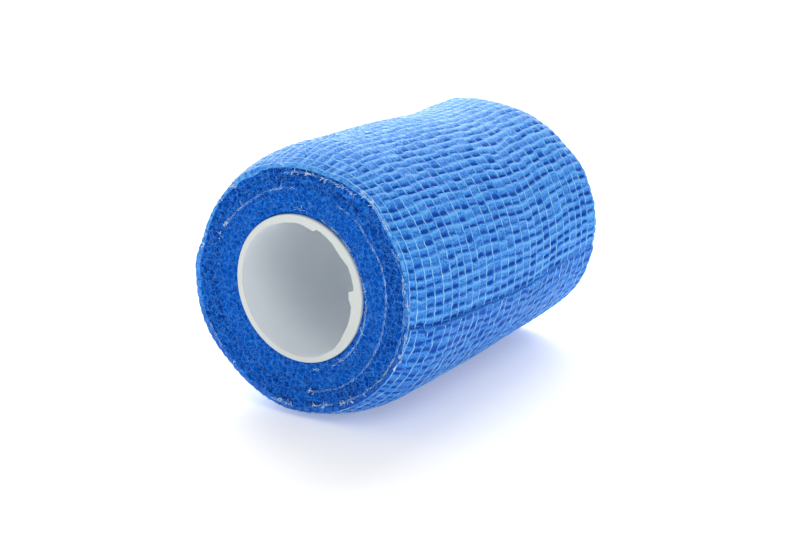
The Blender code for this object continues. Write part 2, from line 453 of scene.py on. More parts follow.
loose_end, column, row = flat_grid("loose_end_cloth", LOOSE_RIBS * STEPS_PER_RIB, len(DISTANCES) - 1)
distance = DISTANCES[row]
wound = column * RIB_PITCH / STEPS_PER_RIB
radius, fold_shade = loose_surface(wound, distance)
frayed = FRAY_ANGLE * wander(41, distance / FRAY_WAVE, np.zeros_like(distance))
wound = wound + frayed * (1 - eased(np.clip(wound / FRAY_REACH, 0, 1)))
put(loose_end, place(angle_of(wound, distance), radius, distance))
add_fold_shade(loose_end, fold_shade)
thick = loose_end.modifiers.new("thickness", "SOLIDIFY")
thick.thickness = LOOSE_THICKNESS
thick.offset = -1
bpy.ops.object.modifier_apply(modifier="thickness")
hand_over(loose_end, "crepe_cloth", "loose_end")

# %% [markdown]
# ## The cut ends of the roll
# The roll has about seventeen turns, and some fourteen of them show their cut edges at its end,
# pressed together. The edges make fine low ridges that run in a spiral, and some turns stand a little
# further out than others. The inner turns lie level with the core, and the outer ones lie deeper and
# are coarser. Scattered pits are gaps between turns. One function gives how deep each point lies.

# %% The cut edges
NEAR_SEED = 51
FAR_SEED = 61
NEAR_LEVELS = (
    # share of the way from the core to the rim, depth in mm
    (0.0, 0.35), (0.05, 0.08), (0.40, 0.0), (0.56, 0.03), (0.60, 0.28), (0.90, 0.24), (1.0, 0.28),
)
FAR_LEVELS = ((0.0, 0.35), (0.06, 0.12), (0.45, 0.0), (0.75, 0.2), (1.0, 0.22))
RIDGE = 0.14 * MM
TURN_UNEVEN = 0.16 * MM
TURN_STRIDE = 7
TURN_WAVE = 20
CUT_ROUGH = 0.09 * MM
ROUGH_GRAIN = 0.4 * MM
ROUGH_PER_DEGREE = 0.9
PIT_DEPTH = 0.6 * MM
PIT_GRAIN = 0.7 * MM
PITS_PER_DEGREE = 0.45
PIT_ABOVE = 0.35
INNER_ROUGHNESS = 0.6
OUTER_ROUGHER = 0.6


def cut_depth(angle, share, radius, levels, seed):
    """How deep the cut edges lie behind the cloth's full width, at each point of an end."""
    shares, depths = np.array(levels).T
    depth = np.interp(share, shares, depths) * MM
    turn = (radius - CORE_RADIUS) / TURN_THICKNESS + angle / 360
    depth = depth - RIDGE * np.abs(np.cos(math.pi * turn))
    round_roll = angle % 360
    depth = depth + TURN_UNEVEN * wander(seed, np.floor(turn) * TURN_STRIDE + 0.5, round_roll / TURN_WAVE)
    rough = wander(seed + 1, radius / ROUGH_GRAIN, round_roll * ROUGH_PER_DEGREE)
    pits = wander(seed + 2, radius / PIT_GRAIN, round_roll * PITS_PER_DEGREE)
    unevenness = CUT_ROUGH * rough + PIT_DEPTH * np.maximum(pits - PIT_ABOVE, 0)
    return depth + (INNER_ROUGHNESS + OUTER_ROUGHER * share) * unevenness


middle = cut_depth(np.arange(360.0), 0.5, 20 * MM, NEAR_LEVELS, NEAR_SEED)
print("Half-way out, the near end lies", np.round([middle.min() / MM, middle.max() / MM], 2), "mm deep")

# %% [markdown]
# ## The two ends
# The outermost turns curl over the rim, so a lighter rounded band of crepe runs round the cut edges.
# On the band the crepe's painted highlight shows mostly on top, and painted shade deepens towards
# the bottom.
# A grid is bent into a ring for each end: its first rows follow the cut edges, its last rows make a
# quarter circle over the rim, and its outer row lies on the edge of the outermost turn or, past the
# cut edge, of the loose end. The two looks share the ring, so there is no gap between them.

# %% The two ends
NEAR_ROWS = 54
FAR_ROWS = 24
BAND_ROWS = 8
CORE_CLEARANCE = 0.03 * MM
NEAR_CUT_RIM = (
    # angle in degrees, radius in mm
    (0, 24.9), (20, 24.9), (46, 25.3), (60, 24.6), (72, 24.0), (95, 23.8), (120, 23.2), (150, 23.5),
    (165, 23.4), (185, 24.1), (202, 24.7), (212, 24.3), (235, 24.0), (250, 23.8), (268, 24.2),
    (283, 23.6), (311, 23.7), (327, 24.3), (340, 24.6), (350, 24.8),
)
FAR_CUT_RIM = (
    (0, 25.4), (25, 24.8), (65, 23.4), (85, 22.9), (115, 24.6), (160, 24.5), (200, 24.3), (250, 24.5),
    (310, 24.9),
)
RIM_UNEVEN = 0.22 * MM
RIM_WAVE = 3
BAND_LIP = 0.05 * MM
MIN_BAND = 0.6 * MM
BAND_FLATTER = 0.5
BAND_ROUGHER = 1.5
# Painted shade on the cut edges, by how deep they lie
DARK_AT = 0.10 * MM
DARK_START = 0.3
DARK_REACH = 0.4 * MM
# Painted shade on the band: darker towards the bottom, where the turn's fold_shade also shows more than
# on top
BAND_SHADE_BELOW = 0.40
BELOW_FROM = 0.35
PATCHY = 0.10
PATCHY_ABOVE = 0.2
FOLDS_ON_LIP = 0.4
FOLDS_OUTWARD = 0.5
FOLDS_ABOVE = 0.15


def end_outline(wound, far):
    """The edge of the outermost cloth at one end: distance, radius with ribs and without, and the painted
    shade of its folds.
    """
    edge = CLOTH_WIDTH - FIRST_RING if far else FIRST_RING
    radius, fold_shade = turn_surface(wound, edge)
    loose, loose_fold_shade = loose_surface(np.maximum(wound - 360, 0), edge)
    covered = wound > 360
    radius = np.where(covered, loose, radius)
    level = np.where(covered, turn_radius(np.maximum(wound - 360, 0), edge), turn_radius(wound, edge))
    return edge, radius, level, np.where(covered, loose_fold_shade, fold_shade)


def cut_end(name, far, cut_rows, cut_rim, levels, seed):
    """One end of the wound roll, from the core out to the edge of the outermost turn."""
    rows = cut_rows + BAND_ROWS
    made, column, row = flat_grid(name, RIBS * STEPS_PER_RIB, rows)
    column = column % (RIBS * STEPS_PER_RIB)
    row = rows - row if far else row
    wound = TURN_START + column * RIB_PITCH / STEPS_PER_RIB
    edge, edge_radius, level, fold_shade = end_outline(wound, far)
    angle = angle_of(wound, edge)
    rim = rim_radius(cut_rim, angle)
    rim = rim + RIM_UNEVEN * wander(seed + 3, (angle % 360) / RIM_WAVE, angle * 0)
    rim = np.minimum(rim, level - MIN_BAND)
    inner = CORE_RADIUS + CORE_CLEARANCE
    share = np.clip(row / cut_rows, 0, 1)
    radius = inner + (rim - inner) * share
    depth = cut_depth(angle, share, radius, levels, seed)
    # Painted shade: the deeper the cut edges lie, the darker they are painted.
    depth_shade = np.clip(DARK_START + (depth - DARK_AT) / DARK_REACH, 0, 1)
    over = np.clip((row - cut_rows) / BAND_ROWS, 0, 1)
    tilt = math.pi / 2 * over
    relief = (edge_radius - level) * (BAND_FLATTER + (1 - BAND_FLATTER) * over ** 2)
    rough = BAND_ROUGHER * CUT_ROUGH * wander(seed + 4, row * 0.5, angle / 2)
    relief = relief + rough * np.sin(2 * tilt)
    band_radius = rim + (level - rim) * np.sin(tilt) + relief * np.sin(tilt)
    band_depth = BAND_LIP + (FIRST_RING - BAND_LIP) * (1 - np.cos(tilt)) - relief * np.cos(tilt)
    radius = np.where(over > 0, band_radius, radius)
    depth = np.where(over > 0, band_depth, depth)
    put(made, place(angle, radius, CLOTH_WIDTH - depth if far else depth))
    # Painted shade on the band, deepening towards the bottom, with random patches that are stronger
    # there; on top it stays near zero, so the band keeps the painted crest highlight.
    below = eased(np.clip(BELOW_FROM - np.sin(np.radians(angle)), 0, 1))
    patchy = PATCHY * wander(seed + 5, row * 0.6, angle / 2.5)
    band_shade = np.clip(BAND_SHADE_BELOW * below + patchy * (PATCHY_ABOVE + below), 0, 1)
    shows = (FOLDS_ON_LIP + FOLDS_OUTWARD * over) * (FOLDS_ABOVE + (1 - FOLDS_ABOVE) * below)
    band_shade = band_shade + fold_shade * shows
    add_fold_shade(made, np.where(over > 0, band_shade, depth_shade))
    for face in made.data.polygons:
        if min(over[corner] for corner in face.vertices) > 0:
            face.material_index = 1
    bpy.ops.object.mode_set(mode="EDIT")
    bpy.ops.mesh.select_all(action="SELECT")
    bpy.ops.mesh.remove_doubles(threshold=1e-6)
    bpy.ops.object.mode_set(mode="OBJECT")
    return hand_over(made, "crepe_cloth", "bandage_roll")


near_end = cut_end("near_cut_end", False, NEAR_ROWS, NEAR_CUT_RIM, NEAR_LEVELS, NEAR_SEED)
far_end = cut_end("far_cut_end", True, FAR_ROWS, FAR_CUT_RIM, FAR_LEVELS, FAR_SEED)

# %% [markdown]
# ## The elastic threads
# Each thread is a fine stretched strand of elastic that crosses the ribs and stays nearly level, so
# it bridges the recesses and shows as a light line. A curve with a round bevel is the natural way to
# make it. All the threads of one cloth are splines of one curve, which is then turned to a mesh.
# On the wound turn they are taut and nearly straight. On the loose end they have been let go, so
# neighbours swing apart and together again.

# %% The elastic threads
THREAD_RADIUS = 0.11 * MM
THREAD_LIFT = 0.045 * MM
THREAD_FOLLOWS = 0.6
THREAD_SWAY = 0.14 * MM
LOOSE_SWAY = 1.0 * MM
OWN_SWAY = 0.45
SHARED_SWAY = 0.55
SHARED_WAVE = 5
THREAD_STEPS = 6


def strands(name, routes, radius):
    """Thin round strands through rows of points, joined as one mesh."""
    let_go()
    curve = bpy.data.curves.new(name, "CURVE")
    curve.dimensions = "3D"
    curve.bevel_depth = radius
    curve.bevel_resolution = 0
    curve.use_fill_caps = True
    for route in routes:
        spline = curve.splines.new("POLY")
        spline.points.add(len(route) - 1)
        spline.points.foreach_set("co", np.column_stack([route, np.ones(len(route))]).ravel())
    made = bpy.data.objects.new(name, curve)
    bpy.context.scene.collection.objects.link(made)
    made.select_set(True)
    bpy.context.view_layer.objects.active = made
    bpy.ops.object.convert(target="MESH")
    return bpy.context.object


def thread_route(number, wound, seed, surface, sway):
    """One thread on a cloth: nearly level over the ribs, swaying by itself and with its neighbour."""
    own = np.full_like(wound, number + 0.5)
    straight = np.full_like(wound, THREAD_PLACES[number])
    side = 1 if number % 2 else -1
    apart = side * wander(seed, wound / SHARED_WAVE, own * 0)
    alone = wander(seed, wound / RIB_PITCH, own)
    swaying = straight + sway * (OWN_SWAY * alone + SHARED_SWAY * apart)
    distance = np.clip(swaying, FIRST_RING, CLOTH_WIDTH - FIRST_RING)
    radius, _ = surface(wound, straight)
    level = turn_radius(wound, distance)
    lifted = level + THREAD_FOLLOWS * (radius - level) + THREAD_LIFT
    return place(angle_of(wound, distance), lifted, distance)


turn_wound = TURN_START + np.arange(TURN_RIBS * THREAD_STEPS + 1) * RIB_PITCH / THREAD_STEPS
routes = [
    thread_route(number, turn_wound, TURN_SEED + 5, turn_surface, THREAD_SWAY)
    for number in range(THREADS)
]
turn_threads = hand_over(strands("turn_threads", routes, THREAD_RADIUS), "crepe_cloth")

loose_wound = np.arange(1, LOOSE_RIBS * STEPS_PER_RIB + 1) * RIB_PITCH / STEPS_PER_RIB
routes = [
    thread_route(number, loose_wound, LOOSE_SEED + 5, loose_surface, LOOSE_SWAY)
    for number in range(THREADS)
]
loose_threads = hand_over(strands("loose_threads", routes, THREAD_RADIUS), "crepe_cloth")

# %% [markdown]
# ## Threads on the cut end
# Where the slitting blade ran close to a thread, the thread shows on the end of the roll as a thin
# light arc between two turns. It is a pair of filaments, twisted loosely round each other. Each row
# of the first table is one stretch, as the points that it runs through. Here and there the filaments
# have sprung apart as a white tuft, which is drawn as a few short strands that wander.

# %% Threads on the cut end
END_ARCS = (
    # angle in degrees and radius in mm of the points of each stretch
    ((152, 20.4), (141, 19.8), (128, 19.4), (115, 19.5), (104, 19.6), (92, 19.9)),
    ((63, 19.9), (51, 20.3), (37, 20.1), (17, 20.3), (0, 20.0), (-11, 19.8), (-40, 20.0),
     (-63, 20.5), (-85, 20.7)),
    ((69, 15.4), (48, 15.3), (31, 15.0), (16, 15.2), (-1, 15.4), (-21, 15.8), (-47, 15.9), (-62, 16.1)),
    ((100, 22.6), (89, 23.0), (76, 23.2), (66, 23.6), (59, 24.0)),
    ((54, 25.5), (46, 25.4), (38, 25.1), (28, 24.5), (20, 24.6), (10, 24.2), (2, 24.4)),
    ((28, 23.9), (15, 24.1), (3, 23.8), (-13, 23.9), (-33, 23.8), (-48, 23.5), (-63, 23.5), (-77, 23.4)),
    ((-2, 25.0), (-15, 24.9), (-23, 25.3)),
    ((253, 24.9), (259, 24.6), (263, 24.4)),
    ((218, 24.7), (206, 24.7)),
    ((158, 19.8), (157, 21.6)),
    ((152, 19.6), (151, 20.9)),
    ((102, 19.4), (100, 21.1)),
    ((6, 14.9), (8, 15.6)),
    ((-20, 14.9), (-24, 16.2)),
    ((-74, 16.2), (-79, 16.1)),
    ((94, 15.8), (86, 15.9)),
)
END_THREAD_RADIUS = 0.055 * MM
END_THREAD_LIFT = 0.06 * MM
END_THREAD_DEEPEST = 0.3 * MM
END_SWAY = 0.10 * MM
END_SWAY_WAVE = 2 * MM
END_RISE = 0.05 * MM
END_WAVE = 1.5 * MM
TWIST_LENGTH = 2.2 * MM
TWIST_RADIUS = 0.17 * MM
TWIST_HEIGHT = 0.04 * MM
TWIST_UNEVEN = 1.5
TWIST_STEPS = 8
TUFTS = (
    # angle in degrees, radius in mm, strands
    (59, 24.0, 5), (54, 25.5, 8), (49, 25.5, 9), (38, 25.2, 4), (24, 24.4, 3), (12, 24.2, 4),
    (2, 24.6, 7), (-12, 24.9, 4), (-22, 25.0, 9), (-28, 24.9, 5), (-41, 23.8, 3), (-50, 23.7, 4),
    (-60, 23.7, 5), (-66, 23.7, 6), (-77, 23.6, 10), (-82, 23.5, 6), (-97, 24.3, 6), (-101, 24.5, 6),
    (-38, 15.9, 6), (-54, 16.0, 5), (88, 15.9, 6), (75, 23.2, 6), (84, 23.1, 6), (92, 23.0, 5),
    (99, 24.4, 4), (130, 23.8, 7), (142, 24.1, 7), (168, 24.0, 5), (134, 19.8, 3), (147, 20.3, 6),
    (-84, 20.6, 6), (66, 23.5, 4), (228, 24.6, 3), (157, 20.6, 3),
)
TUFT_LENGTH = 0.9 * MM
TUFT_RADIUS = 0.05 * MM
TUFT_POINTS = 9
TUFT_SPREAD = 0.45 * MM
TUFT_LIFT = 0.05 * MM
TUFT_SCATTER = np.array([0.12, 0.04, 0.12]) * MM
TUFT_SWING = 0.5
TUFT_TURNING = 0.25
TUFT_WANDER = 0.35
TUFT_RISE = 0.15


def end_route(arc, number, side):
    """One filament of a stretch of thread on the near end, twisted round its partner."""
    angles, radii = np.array(arc).T
    runs = np.hypot(np.radians(np.diff(angles)) * radii[1:], np.diff(radii)) * MM
    reached = np.concatenate([[0], np.cumsum(runs)])
    steps = int(reached[-1] / (TWIST_LENGTH / TWIST_STEPS)) + 1
    at = np.linspace(0, reached[-1], max(6, steps))
    own = np.full(len(at), number + 0.5)
    angle = np.interp(at, reached, angles)
    radius = np.interp(at, reached, radii) * MM + END_SWAY * wander(71, at / END_SWAY_WAVE, own)
    phase = math.tau * at / TWIST_LENGTH + TWIST_UNEVEN * wander(72, at / END_WAVE, own)
    rim = rim_radius(NEAR_CUT_RIM, angle)
    share = (radius - CORE_RADIUS) / (rim - CORE_RADIUS)
    depth = cut_depth(angle, share, radius, NEAR_LEVELS, NEAR_SEED)
    depth = np.minimum(np.where(radius < rim, depth, BAND_LIP), END_THREAD_DEEPEST) - END_THREAD_LIFT
    depth = depth - END_RISE * wander(73, at / END_WAVE, own)
    radius = radius + side * TWIST_RADIUS * np.sin(phase)
    return place(angle, radius, depth - side * TWIST_HEIGHT * np.cos(phase))


def tuft_routes(angle, radius, count, rng):
    """A few short strands that have sprung loose from a thread, most of them still along it."""
    routes = []
    for _ in range(count):
        drawn = angle + math.degrees(rng.normal() * TUFT_SPREAD / (radius * MM))
        start = place(np.array([drawn]), np.array([radius * MM]), TUFT_LIFT)[0]
        course = math.radians(drawn) + math.pi / 2 * rng.choice([-1, 1]) + rng.normal() * TUFT_SWING
        turning = rng.normal() * TUFT_TURNING
        points = [start + rng.normal(size=3) * TUFT_SCATTER]
        for _ in range(TUFT_POINTS - 1):
            course = course + turning + rng.normal() * TUFT_WANDER
            outward = -abs(rng.normal()) * TUFT_RISE
            heading = np.array([math.cos(course), outward, math.sin(course)])
            points.append(points[-1] + heading * rng.uniform(0.5, 1.3) * TUFT_LENGTH / TUFT_POINTS)
        routes.append(np.array(points))
    return routes


routes = [end_route(arc, number, side) for number, arc in enumerate(END_ARCS) for side in (1, -1)]
end_threads = hand_over(strands("end_threads", routes, END_THREAD_RADIUS), "crepe_cloth")
tuft_rng = np.random.default_rng(75)
routes = [route for tuft in TUFTS for route in tuft_routes(*tuft, tuft_rng)]
tufts = hand_over(strands("thread_tufts", routes, TUFT_RADIUS), "crepe_cloth")

# %% [markdown]
# ## Fibres
# The blade leaves the ends fleecy with short cut fibres. One fibre is a thin three-sided cone with a
# slight curve, and thousands of copies of it are laid at seeded places and directions. They are
# joined as one mesh, because that many single objects would be slow to handle.

# %% Fibres
FIBRE_RADIUS = 0.042 * MM
FIBRE_CURLS = (0.05, 0.35)


def one_fibre():
    """The points and faces of one fibre, one unit long and one unit thick, along +X."""
    let_go()
    along_x = (0, math.radians(90), 0)
    bpy.ops.mesh.primitive_cone_add(vertices=3, radius1=1, radius2=0.25, depth=1, rotation=along_x)
    made = bpy.context.object
    bpy.ops.object.transform_apply(location=False, rotation=True, scale=True)
    bpy.ops.object.mode_set(mode="EDIT")
    bpy.ops.mesh.select_all(action="SELECT")
    bpy.ops.mesh.bisect(plane_co=(0, 0, 0), plane_no=(1, 0, 0))
    bpy.ops.object.mode_set(mode="OBJECT")
    points = np.array([tuple(vertex.co) for vertex in made.data.vertices])
    points[:, 0] += 0.5
    faces = [tuple(face.vertices) for face in made.data.polygons]
    bpy.data.objects.remove(made, do_unlink=True)
    return points, faces


FIBRE_POINTS, FIBRE_FACES = one_fibre()


def fibres(name, roots, directions, lengths, seed):
    """Copies of the fibre at given roots, each with its own length, direction and curl."""
    rng = np.random.default_rng(seed)
    count = len(roots)
    directions = directions / np.linalg.norm(directions, axis=1, keepdims=True)
    side = np.cross(directions, rng.normal(size=(count, 3)))
    side = side / np.linalg.norm(side, axis=1, keepdims=True)
    third = np.cross(directions, side)
    x, y, z = FIBRE_POINTS.T
    curl = rng.uniform(*FIBRE_CURLS, count)[:, None] * x ** 2 * lengths[:, None]
    run = x[None, :] * lengths[:, None]
    points = (
        roots[:, None, :]
        + run[..., None] * directions[:, None, :]
        + (curl + FIBRE_RADIUS * y)[..., None] * side[:, None, :]
        + (FIBRE_RADIUS * z)[None, :, None] * third[:, None, :]
    )
    faces = []
    for number in range(count):
        first = number * len(FIBRE_POINTS)
        faces += [tuple(first + corner for corner in face) for face in FIBRE_FACES]
    mesh = bpy.data.meshes.new(name)
    mesh.from_pydata(points.reshape(-1, 3).tolist(), [], faces)
    made = bpy.data.objects.new(name, mesh)
    bpy.context.scene.collection.objects.link(made)
    return made


print("One fibre has", len(FIBRE_FACES), "faces")

# %% [markdown]
# ## Where the fibres lie
# On the two ends most fibres lie almost flat, and a few more of them lie further out, where the cut
# is coarser. On the side they lie on the cloth near the open end, where it has been handled, and thin
# out along the roll. Their lengths are in mm.

# %% Where the fibres lie
END_FIBRE_LENGTHS = (0.3, 0.9)
END_FIBRE_CROWDING = 0.8
END_FIBRE_TILT = 0.12
END_FIBRE_LEAST_TILT = 0.05
SIDE_FIBRE_LENGTHS = (0.3, 0.8)
SIDE_FIBRE_REACH = 40 * MM
SIDE_FIBRE_CROWDING = 1.5
SIDE_FIBRE_FLATTEN = 0.9


def end_fibres(name, far, cut_rim, levels, seed, count):
    """Fibres that lie on one cut end, most of them almost flat."""
    rng = np.random.default_rng(seed)
    angle = rng.uniform(0, 360, count)
    rim = rim_radius(cut_rim, angle)
    share = rng.uniform(0.0, 1.0, count) ** END_FIBRE_CROWDING
    radius = CORE_RADIUS + (rim - CORE_RADIUS) * share
    depth = cut_depth(angle, share, radius, levels, seed)
    roots = place(angle, radius, CLOTH_WIDTH - depth if far else depth)
    out = 1.0 if far else -1.0
    directions = rng.normal(size=(count, 3)) * np.array([1, END_FIBRE_TILT, 1])
    directions[:, 1] = out * (np.abs(directions[:, 1]) + END_FIBRE_LEAST_TILT)
    lengths = rng.uniform(*END_FIBRE_LENGTHS, count) * MM
    return fibres(name, roots, directions, lengths, seed)


def side_fibres(name, seed, count):
    """Short fibres that lie on the outermost turn near the open end, where it has been handled."""
    rng = np.random.default_rng(seed)
    wound = rng.uniform(TURN_START, CREASE_AT, count)
    distance = FIRST_RING + SIDE_FIBRE_REACH * rng.uniform(0, 1, count) ** SIDE_FIBRE_CROWDING
    radius, _ = turn_surface(wound, distance)
    angle = angle_of(wound, distance)
    turned = np.radians(angle)
    out = np.stack([np.cos(turned), np.zeros(count), np.sin(turned)], axis=-1)
    directions = rng.normal(size=(count, 3))
    upright = (directions * out).sum(axis=1, keepdims=True) * out
    directions = directions - upright * SIDE_FIBRE_FLATTEN
    lengths = rng.uniform(*SIDE_FIBRE_LENGTHS, count) * MM
    roots = place(angle, radius + FIBRE_RADIUS, distance)
    return fibres(name, roots, directions, lengths, seed)


NEAR_FIBRES = 7000
FAR_FIBRES = 3000
SIDE_FIBRES = 7000
SIDE_SEED = 91
near_fibres = end_fibres("near_fibres", False, NEAR_CUT_RIM, NEAR_LEVELS, NEAR_SEED, NEAR_FIBRES)
hand_over(near_fibres, "crepe_cloth")
far_fibres = end_fibres("far_fibres", True, FAR_CUT_RIM, FAR_LEVELS, FAR_SEED, FAR_FIBRES)
hand_over(far_fibres, "crepe_cloth")
loose_hairs = side_fibres("side_fibres", SIDE_SEED, SIDE_FIBRES)
hand_over(loose_hairs, "crepe_cloth")

# %% [markdown]
# ## The core
# The core is cut from an extruded plastic tube. Its wall is drawn as a flat section and spun round
# the axis. The blade that cut it has left a thin ragged burr on the inner edge of the near end, with
# one larger tooth, so the points of that edge are then moved in or out by a small table.

# %% The core
CORE_WALL = 1.4 * MM
CORE_ROUND = 0.15 * MM
CORE_STEPS = 360
BURR_THICKNESS = 0.2 * MM
BURR_RAGGED = 0.06 * MM
BURR_WAVE = 1.7
LIP_WIDTH = 0.1 * MM
NEARLY = 0.01 * MM
INNER_EDGE = (
    # angle in degrees, radius in mm of the ragged inner edge
    (-6, 12.4), (-3, 12.1), (0, 11.8), (3, 11.85), (7, 11.9), (7.6, 13.05), (11, 13.15), (21, 13.28),
    (29, 13.3), (37, 12.9), (45, 12.9), (50, 13.1), (55, 13.2), (62, 13.3), (70, 13.35), (71.5, 12.8),
    (75, 12.65), (81, 12.9), (88, 13.1), (105, 13.15), (126, 13.4), (150, 13.45), (182, 13.35),
    (215, 13.3), (247, 13.5), (287, 13.6), (297, 13.45), (307, 13.4), (316, 13.1), (326, 12.75),
    (336, 12.6), (344, 12.5), (354, 12.4),
)


def core_piece():
    """The tube, spun from its wall's section, with its ragged inner edge."""
    inner = CORE_RADIUS - CORE_WALL
    near, far = core_low.y, core_high.y
    section = (
        (inner, near), (inner + LIP_WIDTH, near),
        (CORE_RADIUS - CORE_ROUND, near), (CORE_RADIUS, near + CORE_ROUND),
        (CORE_RADIUS, far - CORE_ROUND), (CORE_RADIUS - CORE_ROUND, far),
        (inner + CORE_ROUND, far), (inner, far - CORE_ROUND),
        (inner, near + 6 * BURR_THICKNESS), (inner, near + 3 * BURR_THICKNESS),
        (inner, near + BURR_THICKNESS),
    )
    let_go()
    bpy.ops.mesh.primitive_circle_add(vertices=len(section), radius=1)
    made = bpy.context.object
    made.name = made.data.name = "cut_plastic_core"
    put(made, [(AXIS.x + radius, y, AXIS.z) for radius, y in section])
    bpy.ops.object.mode_set(mode="EDIT")
    bpy.ops.mesh.select_all(action="SELECT")
    bpy.ops.mesh.spin(steps=CORE_STEPS, angle=math.tau, center=AXIS, axis=(0, 1, 0))
    bpy.ops.mesh.select_all(action="SELECT")
    bpy.ops.mesh.remove_doubles(threshold=1e-6)
    bpy.ops.mesh.normals_make_consistent(inside=False)
    bpy.ops.object.mode_set(mode="OBJECT")
    points = np.array([tuple(vertex.co) for vertex in made.data.vertices])
    x, z = points[:, 0] - AXIS.x, points[:, 2] - AXIS.z
    angle = np.degrees(np.arctan2(z, x))
    radius = np.hypot(x, z)
    angles, radii = np.array(INNER_EDGE).T
    ragged = np.interp(angle, angles, radii, period=360) * MM
    ragged = ragged + BURR_RAGGED * wander(81, (angle % 360) / BURR_WAVE, np.zeros_like(angle))
    at_lip = (radius < inner + NEARLY) & (points[:, 1] < near + 1.5 * BURR_THICKNESS)
    beside = (np.abs(radius - inner - LIP_WIDTH) < NEARLY) & (points[:, 1] < near + NEARLY)
    moved = np.where(beside, np.maximum(ragged, inner) + LIP_WIDTH, radius)
    moved = np.where(at_lip, ragged, moved)
    points[:, 0] = AXIS.x + x / radius * moved
    points[:, 2] = AXIS.z + z / radius * moved
    put(made, points)
    for face in made.data.polygons:
        outward = face.normal.x * (face.center.x - AXIS.x) + face.normal.z * (face.center.z - AXIS.z)
        if outward < 0 and face.center.y > near + BURR_THICKNESS:
            face.material_index = 1
    made = hand_over(made, "core_plastic", "core_tube")
    bpy.ops.object.shade_smooth_by_angle(angle=math.radians(40))
    return made


core = core_piece()

# %% [markdown]
# ## Nodes and colours
# Colours are written as the sRGB values that a picture shows, and one function turns them into the
# linear values that Blender wants. One small function adds a node, sets it and links it.

# %% Nodes and colours


def colour(code):
    """A linear colour from an sRGB hex value."""
    parts = [int(code[first : first + 2], 16) / 255 for first in (1, 3, 5)]
    linear = [part / 12.92 if part <= 0.04045 else ((part + 0.055) / 1.055) ** 2.4 for part in parts]
    return linear + [1.0]


def new_material(name):
    """An empty node material, its Principled shader and its tree."""
    made = bpy.data.materials.new(name)
    made.use_nodes = True
    return made, made.node_tree.nodes["Principled BSDF"], made.node_tree


def node(tree, kind, inputs=None, **settings):
    """A new node: each input is a value, or the output of another node that is linked to it."""
    made = tree.nodes.new(kind)
    for name, value in settings.items():
        setattr(made, name, value)
    for name, value in (inputs or {}).items():
        if isinstance(value, bpy.types.NodeSocket):
            tree.links.new(value, made.inputs[name])
        else:
            made.inputs[name].default_value = value
    return made


def per_mm(size):
    """The scale of a pattern whose marks are so many millimetres wide."""
    return 1 / (size * MM)


print("The cloth's blue in linear light:", [round(part, 3) for part in colour("#4f97e6")[:3]])

# %% [markdown]
# ## Patterns
# The cloths share two things. One colour is laid over another by a value, which is first turned into
# a share between two limits. And the fibres of a non-woven are thin curved lines: a Voronoi pattern
# gives the distance to the nearest edge of a cell, so a narrow step of it is a net of lines, and
# warping the pattern first bends them as fibres bend.

# %% Patterns
# The sockets of a Mix node that carry colours
MIX_A, MIX_B, MIX_OUT = 6, 7, 2
WARP_SIZE = 0.7


def lay_over(tree, under, over, value, low, high, start=0.0, stop=1.0):
    """One colour over another, by a value that is turned into a share between two limits."""
    limits = {"Value": value, "From Min": low, "From Max": high, "To Min": start, "To Max": stop}
    share = node(tree, "ShaderNodeMapRange", limits).outputs["Result"]
    colours = {"Factor": share, MIX_A: under, MIX_B: over}
    return node(tree, "ShaderNodeMix", colours, data_type="RGBA").outputs[MIX_OUT]


def hair_lines(tree, spot, size, width):
    """Thin curved light lines in all directions, as fine fibres lie: a warped cell pattern's edges."""
    warp = node(tree, "ShaderNodeTexNoise", {
        "Vector": spot, "Scale": per_mm(WARP_SIZE * size), "Detail": 1.0,
    }).outputs["Color"]
    reach = (size * MM, size * MM, size * MM)
    moved = node(tree, "ShaderNodeVectorMath", {
        0: warp, 1: reach, 2: spot,
    }, operation="MULTIPLY_ADD").outputs["Vector"]
    cells = node(tree, "ShaderNodeTexVoronoi", {
        "Vector": moved, "Scale": per_mm(size),
    }, feature="DISTANCE_TO_EDGE").outputs["Distance"]
    line = node(tree, "ShaderNodeMapRange", {
        "Value": cells, "From Min": 0.0, "From Max": width, "To Min": 1.0, "To Max": 0.0,
    })
    return line.outputs["Result"]


def finish(tree, shader, tone, roughness, specular):
    """Link a colour to the shader and set how matt and how shiny it is."""
    tree.links.new(tone, shader.inputs["Base Color"])
    shader.inputs["Roughness"].default_value = roughness
    shader.inputs["Specular IOR Level"].default_value = specular


print("A pattern with 1 mm marks has a scale of", per_mm(1.0))

# %% [markdown]
# ## The look of the crepe
# The cloth is a carded non-woven: fine polyester fibres laid in all directions and bound with a soft
# cohesive latex. To the eye it is fleecy and nearly matt, with pale hairs over a mottled blue. The
# recesses are painted a darker, deeper blue than the crests, as painted shade, and the crests get a
# painted highlight, both by the fold_shade attribute that the meshes carry. A real fibre is about
# 0.02 mm thick, far too fine for this picture, so the grain is drawn 0.4 mm wide and the net of
# hairs 0.55 mm wide, as coarse as they need to be to show.

# %% The look of the crepe
CLOTH_GRAIN = 0.4
CLOTH_HAIRS = 0.55
CLOTH_HAIR_WIDTH = 0.10
CLOTH_MOTTLE = 1.8
CLOTH_FLEECE = 0.16 * MM


